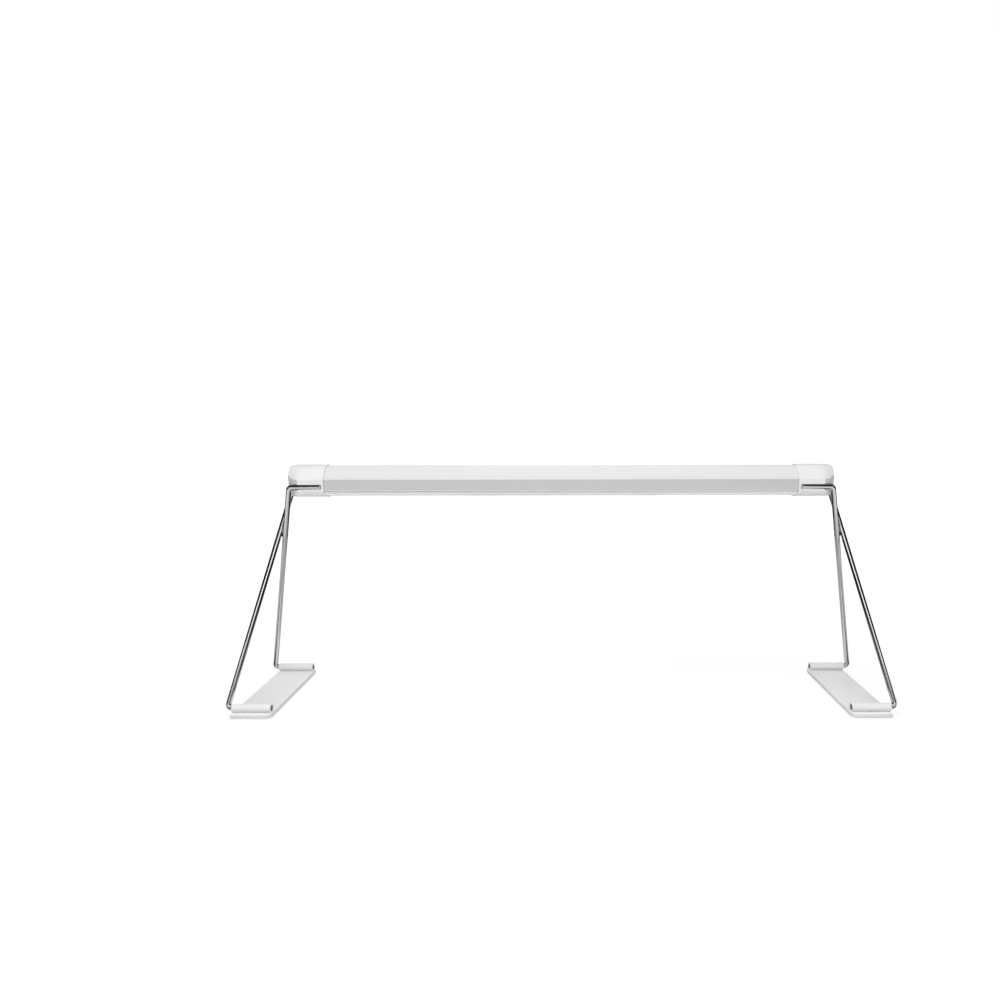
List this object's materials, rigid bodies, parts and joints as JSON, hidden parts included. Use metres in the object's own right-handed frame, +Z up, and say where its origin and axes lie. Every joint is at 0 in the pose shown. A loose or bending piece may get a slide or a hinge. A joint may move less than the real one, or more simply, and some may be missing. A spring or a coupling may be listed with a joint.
{
  "type": "grow light stand",
  "caption": "Table-top grow light: an LED bar between moulded end caps on crossed, bent rod legs that plug into flat feet.",
  "frame": {"origin": "on the floor, under the middle of the bar", "axes": "+X along the bar, towards the end with the supply socket; +Y to the rear; +Z up"},
  "size_m": [0.6606, 0.133, 0.244],
  "materials": {
    "white_paint": "white powder coat",
    "white_plastic": "satin gloss",
    "opal_plastic": "opal, satin",
    "chrome": "polished",
    "grey_paint": "light grey powder coat",
    "grey_plastic": "matte",
    "black_plastic": "matte",
    "grey_rubber": "matte",
    "board_white": "white solder mask",
    "board_green": "solder mask",
    "nickel": "nickel plated",
    "dark_sleeve": "plastic sleeve",
    "ferrite": "sintered",
    "red_insulation": "satin",
    "black_insulation": "satin"
  },
  "bodies": {
    "lamp": {"bar_housing": "white_paint", "diffuser": "opal_plastic", "led_strip": "board_white", "left_end_cap": "white_plastic", "right_end_cap": "white_plastic", "supply_socket": "nickel", "socket_nut": "nickel", "control_board": "board_green", "filter_capacitor": "dark_sleeve", "choke_coil": "ferrite", "driver_chip": "black_plastic", "output_terminal": "grey_plastic", "input_terminal": "grey_plastic", "red_supply_lead": "red_insulation", "black_supply_lead": "black_insulation", "red_board_lead": "red_insulation", "black_board_lead": "black_insulation"},
    "left_legs": {"left_inner_rod": "chrome", "left_outer_rod": "chrome", "left_pivot_pin": "black_plastic"},
    "left_base": {"left_foot": "grey_paint", "left_front_pad": "grey_rubber", "left_rear_pad": "grey_rubber"},
    "right_legs": {"right_inner_rod": "chrome", "right_outer_rod": "chrome", "right_pivot_pin": "black_plastic"},
    "right_base": {"right_foot": "grey_paint", "right_front_pad": "grey_rubber", "right_rear_pad": "grey_rubber"}
  },
  "joints": [
    {"name": "left_legs_slide", "type": "slide", "parent": "lamp", "child": "left_legs", "axis": [-1, 0, 0], "range_m": [0, 0.0352]},
    {"name": "left_foot_slide", "type": "slide", "parent": "left_legs", "child": "left_base", "axis": [1, 0, 0], "range_m": [0, 0.028]},
    {"name": "right_legs_slide", "type": "slide", "parent": "lamp", "child": "right_legs", "axis": [1, 0, 0], "range_m": [0, 0.0352]},
    {"name": "right_foot_slide", "type": "slide", "parent": "right_legs", "child": "right_base", "axis": [-1, 0, 0], "range_m": [0, 0.028]}
  ]
}
